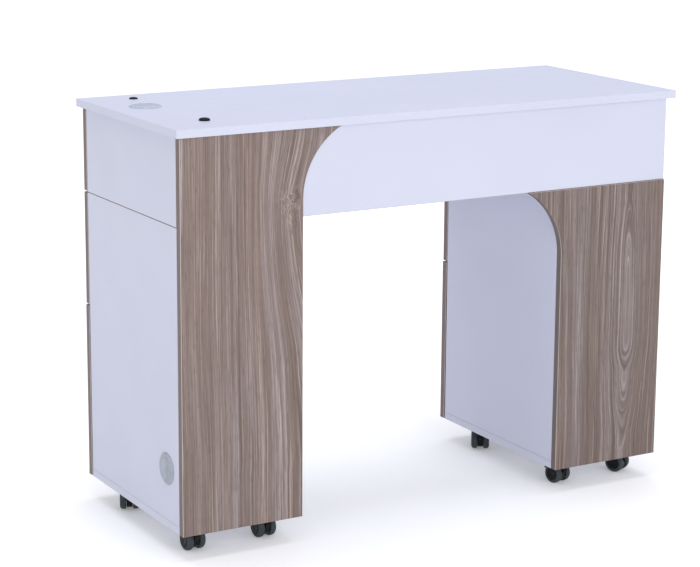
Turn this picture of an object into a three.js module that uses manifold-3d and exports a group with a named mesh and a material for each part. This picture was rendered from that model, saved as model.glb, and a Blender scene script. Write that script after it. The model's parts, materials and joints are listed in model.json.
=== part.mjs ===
// A two-pedestal manicure table on casters, in millimetres, +Z up.
// X runs along the client's side, -Y faces the client, +Y faces the technician's drawers.
// The origin is on the floor under the middle of the table's bounding box.
import * as THREE from "three";
import { mergeVertices } from "three/addons/utils/BufferGeometryUtils.js";
import Module from "manifold-3d";

const wasm = await Module();
wasm.setup();

// ---- Driving dimensions ------------------------------------------------------------------

const BOARD = 15; // every melamine board
const FIT = 0.3; // clearance between pieces that touch
const REVEAL = 1.5; // shadow line under the table top

const TOP_WIDTH = 1100;
const TOP_DEPTH = 446;
const TOP_HEIGHT = 805; // floor to the upper face of the table top
const SIDE_OVERHANG = 11; // table top past the outer sides
const FRONT_OVERHANG = 12; // table top past the wood front panels

const FLOOR_CLEARANCE = 50; // floor to the bottom boards, the casters' height
const UPPER_BOX_HEIGHT = 165; // table top's underside to the apron's lower edge
const PEDESTAL_WIDTH = 249;
const CARCASS_BACK = 424; // distances along Y are taken from the table top's front edge
const DRAWER_GAP = 2; // carcass to the drawer fronts
const DOOR_GAP = 4; // carcass to the doors, where the folded hinge leaves lie
const APRON_SETBACK = 2; // apron behind the wood panels' face
const APRON_INSET = 1; // apron's right end inside the outer side's face

const ARC_RADIUS = 150; // the sweeping cut in both wood panels
const ARC_DROP = 133; // upper edge of a wood panel's tongue down to the arc's centre
const ARC_SEGMENTS = 24;

const SHELF_TOP = 407; // board between the middle drawer and the cupboard
const FRONT_GAP = 3; // between neighbouring drawer fronts
const MIDDLE_FRONT_BOTTOM = 401;

const TUB_WALL = 12;
const TUB_FLOOR = 5;
const RUNNER_SPACE = 12.5; // between a drawer's side and its bay
const TUB_LENGTH = 356;
const TUB_LIFT = 8; // drawer box above the board under it
const SIDE_TUB_HEIGHT = 122;
const CENTRE_TUB_HEIGHT = 90;
const MIDDLE_TUB_HEIGHT = 185;

const HANDLE_SPAN = 128; // between the two posts
const HANDLE_REACH = 28; // proud of the drawer front
const HANDLE_DIAMETER = 9;
const HANDLE_CORNER = 9;
const DOOR_HANDLE_INSET = 32; // handle to the door's free edge
const DOOR_HANDLE_DROP = 100; // handle's middle below the door's upper edge

const GROMMET_DIAMETER = 62;
const GROMMET_HOLE = 54;
const GROMMET_RIM = 2.5; // height of the raised cap
const GROMMET_TAPER = 3; // width of the slope round the cap
const GROMMET_WALL = 2;
const HOLE_SEGMENTS = 16;

const FRONT_BUSHING = { x: -455, y: 82, diameter: 21, height: 4.6, hole: 16, bore: 10 };
const REAR_BUSHING = { x: -455, y: 390, diameter: 17, height: 3, hole: 12, bore: 7.5 };
const TOP_GROMMET = { x: -477.5, y: 287 };
const SIDE_GROMMET = { y: 78.5, z: 164 };

const HINGE_HEIGHT = 60;
const HINGE_LEAF = 1.6; // plate thickness
const HINGE_FOLD = 0.1; // half the space between a hinge's two folded leaves
const HINGE_LEAF_WIDTH = 17;
const KNUCKLE_RADIUS = 3;
const PIN_RADIUS = 1.3;
const KNUCKLE_LENGTH = 18; // each of the two outer knuckles
const HINGE_SEGMENTS = 12;
const HINGE_HEIGHTS = { upper: 318, lower: 76 }; // lower end of each hinge above the floor

const WHEEL_RADIUS = 20;
const WHEEL_OUTSIDE = 19; // half the caster's width over both wheels
const WHEEL_INSIDE = 6.5; // half the space between the two wheels
const WHEEL_SHOULDER = 5; // rounding of each wheel's outer edge
const AXLE_RADIUS = 3;
const TRAIL = 18; // swivel axis to axle
const CASTER_INSET = 50; // swivel axis to the pedestal's sides
const CASTER_FRONT = 95;
const CASTER_REAR = 360;
const CASTER_PLATE = 2.4; // steel plate under the bottom board
const FORK_PLAY = 0.5; // fork to the wheels, the axle and the plate
const FORK_DISC = 11; // radius of the fork's web round the axle
const HOOD_GAP = 1; // wheels to the hood over them
const HOOD_WALL = 2;
const HOOD_START = 0.12 * Math.PI; // the hood's ends, as angles round the axle
const HOOD_END = 0.62 * Math.PI;
const WEB_END = 0.94 * Math.PI; // the web between the wheels reaches further forward
const BOSS_RADIUS = 9; // round the swivel stem
const NECK = [-14, 8]; // between the web and the boss, along the wheels

// ---- Levels worked out from the dimensions above ------------------------------------------

const HANDLE_OUTER_FACE = CARCASS_BACK + DOOR_GAP + BOARD + HANDLE_REACH;
const FRONT_FACE = FRONT_OVERHANG; // wood panels' outer face
const FRONT_BACK = FRONT_FACE + BOARD; // wood panels' inner face
const APRON_FACE = FRONT_FACE + APRON_SETBACK;
const APRON_BACK = APRON_FACE + BOARD;
const DRAWER_FRONT_Y = CARCASS_BACK + DRAWER_GAP;
const DOOR_Y = CARCASS_BACK + DOOR_GAP;
const OUTER_X = TOP_WIDTH / 2 - SIDE_OVERHANG;
const KNEE_X = OUTER_X - PEDESTAL_WIDTH;
const TOP_UNDERSIDE = TOP_HEIGHT - BOARD;
const SEAM_Z = TOP_UNDERSIDE - UPPER_BOX_HEIGHT; // upper box stands on the pedestals here
const PANEL_TOP = TOP_UNDERSIDE - REVEAL;
const UPPER_FLOOR_TOP = SEAM_Z + FIT + BOARD;

// ---- Materials -------------------------------------------------------------------------------

function material(color, roughness, metalness) {
  return new THREE.MeshStandardMaterial({ color, roughness, metalness });
}

const WHITE = material(0xdcdff0, 0.45, 0);
const WOOD = material(0x91827b, 0.55, 0);
const GROMMET_GREY = material(0xaab4b9, 0.4, 0);
const BLACK_PLASTIC = material(0x17181b, 0.35, 0);
const CASTER_BLACK = material(0x101114, 0.3, 0);
const TYRE = material(0x3f484b, 0.6, 0);
const CHROME = material(0xc9ccd0, 0.2, 1);
const HINGE_STEEL = material(0xb4b7bb, 0.35, 1);

// ---- Solid helpers ------------------------------------------------------------------------------

function toSolid(geometry) {
  const bare = geometry.clone();
  bare.deleteAttribute("normal");
  bare.deleteAttribute("uv");
  const merged = mergeVertices(bare, 1e-4);
  const vertProperties = new Float32Array(merged.attributes.position.array);
  const triVerts = new Uint32Array(merged.index.array);
  return new wasm.Manifold(new wasm.Mesh({ numProp: 3, vertProperties, triVerts }));
}

function toGeometry(solid) {
  const mesh = solid.getMesh();
  const geometry = new THREE.BufferGeometry();
  geometry.setAttribute("position", new THREE.BufferAttribute(mesh.vertProperties, 3));
  geometry.setIndex(new THREE.BufferAttribute(mesh.triVerts, 1));
  geometry.computeVertexNormals();
  return geometry;
}

// A box between two values on each axis.
function block([x0, x1], [y0, y1], [z0, z1]) {
  const geometry = new THREE.BoxGeometry(x1 - x0, y1 - y0, z1 - z0);
  return geometry.translate((x0 + x1) / 2, (y0 + y1) / 2, (z0 + z1) / 2);
}

// A cylinder that stands along Z between two heights.
function upright(x, y, radius, [z0, z1], segments) {
  const geometry = new THREE.CylinderGeometry(radius, radius, z1 - z0, segments);
  return geometry.rotateX(Math.PI / 2).translate(x, y, (z0 + z1) / 2);
}

// An outline drawn in X and Z, made solid between two values of Y.
function extrudeAlongY(shape, [y0, y1], curveSegments) {
  const options = { depth: y1 - y0, bevelEnabled: false, curveSegments };
  return new THREE.ExtrudeGeometry(shape, options).rotateX(Math.PI / 2).translate(0, y1, 0);
}

// An outline drawn in Y and Z, made solid between two values of X.
function extrudeAlongX(shape, [x0, x1], curveSegments) {
  const options = { depth: x1 - x0, bevelEnabled: false, curveSegments };
  const geometry = new THREE.ExtrudeGeometry(shape, options);
  return geometry.rotateY(Math.PI / 2).rotateX(Math.PI / 2).translate(x0, 0, 0);
}

function rectangle(x0, x1, y0, y1) {
  const shape = new THREE.Shape();
  shape.moveTo(x0, y0).lineTo(x1, y0).lineTo(x1, y1).lineTo(x0, y1).closePath();
  return shape;
}

function roundHole(x, y, radius) {
  const path = new THREE.Path();
  path.absarc(x, y, radius, 0, 2 * Math.PI, true);
  return path;
}

const table = new THREE.Group();

function add(name, geometry, finish, parent = table) {
  const mesh = new THREE.Mesh(geometry, finish);
  mesh.name = name;
  parent.add(mesh);
  return mesh;
}

// ---- Table top, grommets and lamp bushings -----------------------------------------------------

function tableTop() {
  const outline = rectangle(-TOP_WIDTH / 2, TOP_WIDTH / 2, 0, TOP_DEPTH);
  for (const bushing of [FRONT_BUSHING, REAR_BUSHING]) {
    outline.holes.push(roundHole(bushing.x, bushing.y, bushing.hole / 2 + FIT));
  }
  outline.holes.push(roundHole(TOP_GROMMET.x, TOP_GROMMET.y, GROMMET_HOLE / 2 + FIT));
  const options = { depth: BOARD, bevelEnabled: false, curveSegments: HOLE_SEGMENTS };
  return new THREE.ExtrudeGeometry(outline, options).translate(0, 0, TOP_UNDERSIDE);
}

// A cable grommet about the Z axis, its flange resting on z = 0: a sleeve under a raised cap.
function grommet() {
  const outer = GROMMET_HOLE / 2;
  const profile = [
    [0, 0],
    [outer - GROMMET_WALL, 0],
    [outer - GROMMET_WALL, FIT - BOARD],
    [outer, FIT - BOARD],
    [outer, FIT],
    [GROMMET_DIAMETER / 2, FIT],
    [GROMMET_DIAMETER / 2 - GROMMET_TAPER, GROMMET_RIM],
    [0, GROMMET_RIM],
  ];
  return new THREE.LatheGeometry(profile.map(([r, h]) => new THREE.Vector2(r, h)), 24);
}

// A low domed sleeve for a lamp's peg about the Z axis, its flange resting on z = 0.
function bushing({ diameter, height, hole, bore }) {
  const profile = [
    [bore / 2, -BOARD],
    [hole / 2, -BOARD],
    [hole / 2, FIT],
    [diameter / 2, FIT],
    [diameter / 2 - 0.1 * height, 0.55 * height],
    [diameter / 2 - 0.5 * height, height],
    [bore / 2 + 0.2 * height, height],
    [bore / 2, 0.75 * height],
    [bore / 2, -BOARD],
  ];
  const points = profile.map(([r, h]) => new THREE.Vector2(r, h));
  return new THREE.LatheGeometry(points, 16);
}

function buildTop() {
  add("table_top", tableTop(), WHITE);
  const lift = Math.PI / 2; // a lathe's axis is Y, and this stands it along Z
  const cap = grommet().rotateX(lift).translate(TOP_GROMMET.x, TOP_GROMMET.y, TOP_HEIGHT);
  add("top_grommet", cap, GROMMET_GREY);
  for (const [name, place] of [["front", FRONT_BUSHING], ["rear", REAR_BUSHING]]) {
    const sleeve = bushing(place).rotateX(lift).translate(place.x, place.y, TOP_HEIGHT);
    add(`lamp_bushing_${name}`, sleeve, BLACK_PLASTIC);
  }
}

// ---- Upper box: apron, sides, floor and dividers -----------------------------------------------

// Where an arc crosses the level of its tongue's upper edge, measured from the arc's centre.
function tongueReach(radius, drop) {
  return Math.sqrt(radius * radius - drop * drop);
}

function apron() {
  const left = -KNEE_X + FIT;
  const right = OUTER_X - APRON_INSET;
  const centreX = left + ARC_RADIUS - FIT;
  const centreZ = PANEL_TOP - ARC_DROP;
  const radius = ARC_RADIUS - FIT;
  const topAngle = Math.PI - Math.asin(ARC_DROP / radius);
  const shape = new THREE.Shape();
  shape.moveTo(left, SEAM_Z).lineTo(right, SEAM_Z).lineTo(right, PANEL_TOP);
  shape.lineTo(centreX - tongueReach(radius, ARC_DROP), PANEL_TOP);
  shape.absarc(centreX, centreZ, radius, topAngle, Math.PI, false);
  shape.closePath();
  return extrudeAlongY(shape, [APRON_FACE, APRON_BACK], ARC_SEGMENTS);
}

function buildUpperBox() {
  const height = [SEAM_Z + FIT, TOP_UNDERSIDE - FIT];
  const leftDepth = [FRONT_BACK + FIT, CARCASS_BACK];
  const depth = [APRON_BACK + FIT, CARCASS_BACK];
  add("apron", apron(), WHITE);
  add("upper_side_left", block([-OUTER_X, BOARD - OUTER_X], leftDepth, height), WHITE);
  add("upper_side_right", block([OUTER_X - BOARD, OUTER_X], depth, height), WHITE);
  const inner = OUTER_X - BOARD - FIT;
  add("upper_floor", block([-inner, inner], depth, [SEAM_Z + FIT, UPPER_FLOOR_TOP]), WHITE);
  const bay = [UPPER_FLOOR_TOP + FIT, TOP_UNDERSIDE - FIT];
  add("upper_divider_left", block([-KNEE_X - BOARD, -KNEE_X], depth, bay), WHITE);
  add("upper_divider_right", block([KNEE_X, KNEE_X + BOARD], depth, bay), WHITE);
}

// ---- Wood front panels with their curved tongues -----------------------------------------------

// A front panel whose straight sides are at x0 and x1; its tongue sweeps out past the knee side.
function frontPanel(outerX, kneeX, top) {
  const side = Math.sign(kneeX - outerX); // +1 where the tongue points towards +X
  const centreX = kneeX + side * ARC_RADIUS;
  const centreZ = top - ARC_DROP;
  const tipAngle = Math.asin(ARC_DROP / ARC_RADIUS);
  const shape = new THREE.Shape();
  shape.moveTo(outerX, FLOOR_CLEARANCE).lineTo(kneeX, FLOOR_CLEARANCE).lineTo(kneeX, centreZ);
  if (side > 0) {
    shape.absarc(centreX, centreZ, ARC_RADIUS, Math.PI, Math.PI - tipAngle, true);
  } else {
    shape.absarc(centreX, centreZ, ARC_RADIUS, 0, tipAngle, false);
  }
  shape.lineTo(outerX, top).closePath();
  return extrudeAlongY(shape, [FRONT_FACE, FRONT_BACK], ARC_SEGMENTS);
}

function buildFrontPanels() {
  add("front_panel_left", frontPanel(-OUTER_X, -KNEE_X, PANEL_TOP), WOOD);
  add("front_panel_right", frontPanel(OUTER_X, KNEE_X, SEAM_Z - FIT), WOOD);
}

// ---- Pedestals -----------------------------------------------------------------------------------

function buildPedestal(side, x0) {
  const x1 = x0 + PEDESTAL_WIDTH;
  const isLeft = side === "left";
  const depth = [FRONT_BACK + FIT, CARCASS_BACK];
  const height = [FLOOR_CLEARANCE + BOARD + FIT, SEAM_Z - FIT];
  const inside = [x0 + BOARD + FIT, x1 - BOARD - FIT];
  const lowX = [x0, x0 + BOARD];
  const highX = [x1 - BOARD, x1];

  add(`${side}_bottom_board`, block([x0, x1], depth, [FLOOR_CLEARANCE, FLOOR_CLEARANCE + BOARD]), WHITE);
  add(`${side}_shelf`, block(inside, depth, [SHELF_TOP - BOARD, SHELF_TOP]), WHITE);
  add(`${side}_inner_side`, block(isLeft ? highX : lowX, depth, height), WHITE);
  const outer = rectangle(...depth, ...height);
  if (isLeft) {
    outer.holes.push(roundHole(SIDE_GROMMET.y, SIDE_GROMMET.z, GROMMET_HOLE / 2 + FIT));
  }
  add(`${side}_outer_side`, extrudeAlongX(outer, isLeft ? lowX : highX, HOLE_SEGMENTS), WHITE);
}

function buildSideGrommet() {
  const cap = grommet().rotateZ(Math.PI / 2);
  add("side_grommet", cap.translate(-OUTER_X, SIDE_GROMMET.y, SIDE_GROMMET.z), GROMMET_GREY);
}

// ---- Handles, drawers and doors ------------------------------------------------------------------

// A bow handle in the X-Y plane: two posts and a bar, swept along one path with round corners.
function bowHandle() {
  const half = HANDLE_SPAN / 2;
  const out = HANDLE_REACH - HANDLE_DIAMETER / 2;
  const r = HANDLE_CORNER;
  const path = new THREE.CurvePath();
  const at = (x, y) => new THREE.Vector3(x, y, 0);
  path.add(new THREE.LineCurve3(at(-half, FIT), at(-half, out - r)));
  path.add(new THREE.QuadraticBezierCurve3(at(-half, out - r), at(-half, out), at(r - half, out)));
  path.add(new THREE.LineCurve3(at(r - half, out), at(half - r, out)));
  path.add(new THREE.QuadraticBezierCurve3(at(half - r, out), at(half, out), at(half, out - r)));
  path.add(new THREE.LineCurve3(at(half, out - r), at(half, FIT)));
  const section = new THREE.Shape();
  section.absarc(0, 0, HANDLE_DIAMETER / 2, 0, 2 * Math.PI, false);
  const options = { steps: 18, extrudePath: path, curveSegments: 4, bevelEnabled: false };
  return new THREE.ExtrudeGeometry(section, options);
}

function addHandle(name, [x, y, z], vertical) {
  const handle = add(name, bowHandle(), CHROME);
  handle.rotation.y = vertical ? Math.PI / 2 : 0;
  handle.position.set(x, y, z);
}

function tub(x0, x1, bottom, height) {
  const depth = [DRAWER_FRONT_Y - FIT - TUB_LENGTH, DRAWER_FRONT_Y - FIT];
  const outer = toSolid(block([x0, x1], depth, [bottom, bottom + height]));
  const hollow = block(
    [x0 + TUB_WALL, x1 - TUB_WALL],
    [depth[0] + TUB_WALL, depth[1] - TUB_WALL],
    [bottom + TUB_FLOOR, bottom + height + 1],
  );
  return toGeometry(outer.subtract(toSolid(hollow)));
}

function buildDrawer(name, { front, bay, z, tubBottom, tubHeight }) {
  const depth = [DRAWER_FRONT_Y, DRAWER_FRONT_Y + BOARD];
  const box = tub(bay[0] + RUNNER_SPACE, bay[1] - RUNNER_SPACE, tubBottom, tubHeight);
  const grip = [(front[0] + front[1]) / 2, depth[1], (z[0] + z[1]) / 2];
  add(`${name}_drawer_front`, block(front, depth, z), WOOD);
  add(`${name}_drawer_box`, box, WHITE);
  addHandle(`${name}_drawer_handle`, grip, false);
}

// One hinge's fixed half: the leaf on the carcass edge, two knuckles and the pin through them.
function hingeFrameLeaf() {
  const plate = [-HINGE_FOLD - HINGE_LEAF, -HINGE_FOLD];
  const reach = KNUCKLE_RADIUS + 1;
  const low = [0, KNUCKLE_LENGTH];
  const high = [HINGE_HEIGHT - KNUCKLE_LENGTH, HINGE_HEIGHT];
  const leaf = block([-HINGE_LEAF_WIDTH, 0], plate, [0, HINGE_HEIGHT]);
  const notch = block([-reach, reach], [-reach, reach], [low[1], high[0]]);
  const pin = upright(0, 0, PIN_RADIUS, [1, HINGE_HEIGHT - 1], HINGE_SEGMENTS);
  return toGeometry(
    toSolid(leaf)
      .subtract(toSolid(notch))
      .add(toSolid(upright(0, 0, KNUCKLE_RADIUS, low, HINGE_SEGMENTS)))
      .add(toSolid(upright(0, 0, KNUCKLE_RADIUS, high, HINGE_SEGMENTS)))
      .add(toSolid(pin)),
  );
}

function buildDoor(side, x0) {
  const x1 = x0 + PEDESTAL_WIDTH;
  const depth = [DOOR_Y, DOOR_Y + BOARD];
  const z = [FLOOR_CLEARANCE, MIDDLE_FRONT_BOTTOM - FRONT_GAP];
  add(`${side}_door`, block([x0, x1], depth, z), WOOD);
  addHandle(`${side}_door_handle`, [x0 + DOOR_HANDLE_INSET, depth[1], z[1] - DOOR_HANDLE_DROP], true);
  for (const [end, bottom] of Object.entries(HINGE_HEIGHTS)) {
    const hinge = add(`${side}_door_hinge_${end}`, hingeFrameLeaf(), HINGE_STEEL);
    hinge.position.set(x1 + KNUCKLE_RADIUS + FIT, CARCASS_BACK + DOOR_GAP / 2, bottom);
  }
}

function buildDrawers() {
  const topRow = {
    z: [SEAM_Z + FRONT_GAP / 2, TOP_UNDERSIDE - FRONT_GAP],
    tubBottom: UPPER_FLOOR_TOP + TUB_LIFT,
  };
  const middleRow = {
    z: [MIDDLE_FRONT_BOTTOM, SEAM_Z - FRONT_GAP / 2],
    tubBottom: SHELF_TOP + TUB_LIFT,
    tubHeight: MIDDLE_TUB_HEIGHT,
  };
  const meeting = KNEE_X + BOARD / 2 + FRONT_GAP / 2; // fronts meet over the middle of a divider
  const mirrored = ([low, high]) => [-high, -low];
  const sides = { left: mirrored, right: (span) => span };
  for (const [side, place] of Object.entries(sides)) {
    const bay = place([KNEE_X + BOARD, OUTER_X - BOARD]);
    const topFront = place([meeting, OUTER_X]);
    const middleFront = place([KNEE_X, OUTER_X]);
    buildDrawer(`${side}_top`, { ...topRow, front: topFront, bay, tubHeight: SIDE_TUB_HEIGHT });
    buildDrawer(`${side}_middle`, { ...middleRow, front: middleFront, bay });
  }
  const half = meeting - FRONT_GAP;
  const bay = [-KNEE_X, KNEE_X];
  buildDrawer("centre", { ...topRow, front: [-half, half], bay, tubHeight: CENTRE_TUB_HEIGHT });
}

// ---- Casters ---------------------------------------------------------------------------------------

// Both wheels of one caster and their axle, turned about X with the axle at the origin.
function wheelset() {
  const half = [
    [0, WHEEL_OUTSIDE],
    [WHEEL_RADIUS - WHEEL_SHOULDER, WHEEL_OUTSIDE],
    [WHEEL_RADIUS, WHEEL_OUTSIDE - WHEEL_SHOULDER],
    [WHEEL_RADIUS, WHEEL_INSIDE],
    [AXLE_RADIUS, WHEEL_INSIDE],
  ];
  const profile = [...half, ...half.map(([r, a]) => [r, -a]).reverse()].reverse();
  const points = profile.map(([r, a]) => new THREE.Vector2(r, a));
  return new THREE.LatheGeometry(points, 20).rotateZ(-Math.PI / 2);
}

// A stretch of a ring round the axle, drawn in Y and Z.
function ringSector(inner, outer, start, end) {
  const shape = new THREE.Shape();
  shape.absarc(-TRAIL, WHEEL_RADIUS, outer, start, end, false);
  shape.absarc(-TRAIL, WHEEL_RADIUS, inner, end, start, true);
  shape.closePath();
  return shape;
}

function roundOutline(radius) {
  const shape = new THREE.Shape();
  shape.absarc(-TRAIL, WHEEL_RADIUS, radius, 0, 2 * Math.PI, false);
  return shape;
}

// The swivelling body: a web between the wheels, a hood over them and the swivel boss above.
function casterFork() {
  const web = WHEEL_INSIDE - FORK_PLAY;
  const hoodHalf = WHEEL_OUTSIDE - 1;
  const hoodInner = WHEEL_RADIUS + HOOD_GAP;
  const hoodOuter = hoodInner + HOOD_WALL;
  const bossTop = FLOOR_CLEARANCE - CASTER_PLATE - FORK_PLAY;
  const bossBottom = 2 * WHEEL_RADIUS + FORK_PLAY;
  const neckBottom = 1.4 * WHEEL_RADIUS;
  const webRing = ringSector(AXLE_RADIUS + 2, hoodOuter - FORK_PLAY, HOOD_START, WEB_END);
  const hoodRing = ringSector(hoodInner, hoodOuter, HOOD_START, HOOD_END);
  const neck = block([-web, web], NECK, [neckBottom, bossBottom + 1]);
  const boss = upright(0, 0, BOSS_RADIUS, [bossBottom, bossTop], 10);
  const bore = extrudeAlongX(roundOutline(AXLE_RADIUS + FORK_PLAY), [-web - 1, web + 1], 5);
  return toGeometry(
    toSolid(extrudeAlongX(roundOutline(FORK_DISC), [-web, web], 5))
      .add(toSolid(extrudeAlongX(webRing, [-web, web], 5)))
      .add(toSolid(extrudeAlongX(hoodRing, [-hoodHalf, hoodHalf], 5)))
      .add(toSolid(neck))
      .add(toSolid(boss))
      .subtract(toSolid(bore)),
  );
}

// Swivel angles in degrees: each caster has come to rest its own way.
const CASTERS = {
  left_front_outer: { x: -OUTER_X + CASTER_INSET, y: CASTER_FRONT, turn: 2 },
  left_front_inner: { x: -KNEE_X - CASTER_INSET, y: CASTER_FRONT, turn: 2 },
  left_rear_outer: { x: -OUTER_X + CASTER_INSET, y: CASTER_REAR, turn: -25 },
  left_rear_inner: { x: -KNEE_X - CASTER_INSET, y: CASTER_REAR, turn: -17 },
  right_front_inner: { x: KNEE_X + CASTER_INSET, y: CASTER_FRONT, turn: 12 },
  right_front_outer: { x: OUTER_X - CASTER_INSET, y: CASTER_FRONT, turn: 25 },
  right_rear_inner: { x: KNEE_X + CASTER_INSET, y: CASTER_REAR, turn: -32 },
  right_rear_outer: { x: OUTER_X - CASTER_INSET, y: CASTER_REAR, turn: 14 },
};

function buildCasters() {
  for (const [name, { x, y, turn }] of Object.entries(CASTERS)) {
    const caster = new THREE.Group();
    caster.position.set(x, y, 0);
    caster.rotation.z = THREE.MathUtils.degToRad(turn);
    add(`${name}_caster_fork`, casterFork(), CASTER_BLACK, caster);
    const wheels = add(`${name}_caster_wheels`, wheelset(), TYRE, caster);
    wheels.position.set(0, -TRAIL, WHEEL_RADIUS);
    table.add(caster);
  }
}

// ---- Assembly ----------------------------------------------------------------------------------------

buildTop();
buildUpperBox();
buildFrontPanels();
for (const [side, x0] of [["left", -OUTER_X], ["right", KNEE_X]]) {
  buildPedestal(side, x0);
  buildDoor(side, x0);
}
buildSideGrommet();
buildDrawers();
buildCasters();
table.position.y = -HANDLE_OUTER_FACE / 2;

const part = new THREE.Group();
part.add(table);

export default part;
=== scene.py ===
"""The looks of a two-pedestal manicure table on casters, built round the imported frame."""

import json
import math

import bmesh
import bpy
from mathutils import Matrix, Vector


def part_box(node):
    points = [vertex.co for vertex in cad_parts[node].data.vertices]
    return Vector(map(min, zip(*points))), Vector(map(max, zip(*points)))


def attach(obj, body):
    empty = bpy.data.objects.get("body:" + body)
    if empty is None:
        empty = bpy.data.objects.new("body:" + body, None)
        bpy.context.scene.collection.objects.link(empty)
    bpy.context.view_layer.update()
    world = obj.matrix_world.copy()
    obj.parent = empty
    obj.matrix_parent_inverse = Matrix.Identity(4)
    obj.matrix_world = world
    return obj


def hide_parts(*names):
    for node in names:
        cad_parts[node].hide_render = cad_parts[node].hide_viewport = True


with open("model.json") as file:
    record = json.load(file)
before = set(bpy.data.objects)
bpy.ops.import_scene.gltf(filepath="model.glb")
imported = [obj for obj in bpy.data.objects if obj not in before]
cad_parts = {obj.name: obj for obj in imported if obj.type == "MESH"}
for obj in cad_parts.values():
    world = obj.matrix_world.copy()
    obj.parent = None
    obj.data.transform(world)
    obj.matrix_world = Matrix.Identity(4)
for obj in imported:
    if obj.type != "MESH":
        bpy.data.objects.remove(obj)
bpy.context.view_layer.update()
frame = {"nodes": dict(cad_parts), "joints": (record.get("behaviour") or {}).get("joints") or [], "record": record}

MM = 0.001

# ---- Camera ----------------------------------------------------------------------------------

CAMERA_FROM_CORNER = Vector((-1.5925, -3.3475, 0.5862))  # from the top's front left corner
CAMERA_YAW = 29.467  # degrees to the right of +Y
CAMERA_PITCH = 12.315  # degrees below the horizon
CAMERA_ROLL = -0.274
CAMERA_LENS = 110.18  # mm on a 36 mm sensor
CAMERA_SHIFT = (0.0358, -0.0406)


def make_camera():
    data = bpy.data.cameras.new("camera")
    data.lens = CAMERA_LENS
    data.sensor_width = 36.0
    data.shift_x, data.shift_y = CAMERA_SHIFT
    data.clip_end = 100.0
    camera = bpy.data.objects.new("camera", data)
    low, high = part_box("table_top")
    camera.location = Vector((low.x, low.y, high.z)) + CAMERA_FROM_CORNER
    turn = Matrix.Rotation(math.radians(-CAMERA_YAW), 4, "Z")
    tilt = Matrix.Rotation(math.radians(90 - CAMERA_PITCH), 4, "X")
    roll = Matrix.Rotation(math.radians(-CAMERA_ROLL), 4, "Z")
    camera.rotation_euler = (turn @ tilt @ roll).to_euler()
    bpy.context.scene.collection.objects.link(camera)
    bpy.context.scene.camera = camera


# ---- Materials ---------------------------------------------------------------------------------

def srgb(red, green, blue):
    """A colour given as 0 to 255 display values, as the linear colour that a shader takes."""
    def linear(value):
        share = value / 255
        return share / 12.92 if share <= 0.04045 else ((share + 0.055) / 1.055) ** 2.4
    return (linear(red), linear(green), linear(blue), 1.0)


class Shader:
    """A node material under construction, with short calls for the nodes that the finishes use."""

    def __init__(self, name, roughness, metallic=0.0, specular=0.5):
        self.material = bpy.data.materials.new(name)
        self.material.use_nodes = True
        self.tree = self.material.node_tree
        self.surface = self.tree.nodes["Principled BSDF"]
        self.surface.inputs["Roughness"].default_value = roughness
        self.surface.inputs["Metallic"].default_value = metallic
        self.surface.inputs["Specular IOR Level"].default_value = specular

    def node(self, kind, inputs=None, **settings):
        made = self.tree.nodes.new(kind)
        for key, value in settings.items():
            setattr(made, key, value)
        for key, value in (inputs or {}).items():
            if isinstance(value, bpy.types.NodeSocket):
                self.tree.links.new(value, made.inputs[key])
            else:
                made.inputs[key].default_value = value
        return made

    def math(self, operation, first, second=0.0, third=0.0):
        inputs = {0: first, 1: second, 2: third}
        return self.node("ShaderNodeMath", inputs, operation=operation).outputs[0]

    def place(self):
        return self.node("ShaderNodeTexCoord").outputs["Object"]

    def axes(self, vector):
        split = self.node("ShaderNodeSeparateXYZ", {0: vector})
        return split.outputs[0], split.outputs[1], split.outputs[2]

    def join(self, x, y, z):
        return self.node("ShaderNodeCombineXYZ", {0: x, 1: y, 2: z}).outputs[0]

    def noise(self, vector, scale=1.0, detail=2.0, roughness=0.5):
        inputs = {"Vector": vector, "Scale": scale, "Detail": detail, "Roughness": roughness}
        return self.node("ShaderNodeTexNoise", inputs).outputs["Fac"]

    def ramp(self, factor, low, high, to_low=0.0, to_high=1.0, smooth=True):
        """factor moved from low..high to to_low..to_high, held at both ends."""
        kind = "SMOOTHSTEP" if smooth else "LINEAR"
        inputs = {"Value": factor, 1: low, 2: high, 3: to_low, 4: to_high}
        return self.node("ShaderNodeMapRange", inputs, interpolation_type=kind).outputs[0]

    def mix(self, factor, first, second, blend="MIX"):
        mixer = self.node("ShaderNodeMix", data_type="RGBA", blend_type=blend)
        for socket, value in ((0, factor), (6, first), (7, second)):
            if isinstance(value, bpy.types.NodeSocket):
                self.tree.links.new(value, mixer.inputs[socket])
            else:
                mixer.inputs[socket].default_value = value
        return mixer.outputs[2]

    def bump(self, height, strength, distance):
        inputs = {"Height": height, "Strength": strength, "Distance": distance}
        made = self.node("ShaderNodeBump", inputs)
        self.set("Normal", made.outputs[0])

    def set(self, socket, value):
        self.tree.links.new(value, self.surface.inputs[socket])


RING_POINT = 1.85  # 2 draws round ring tips, 1 draws sharp ones


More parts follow.
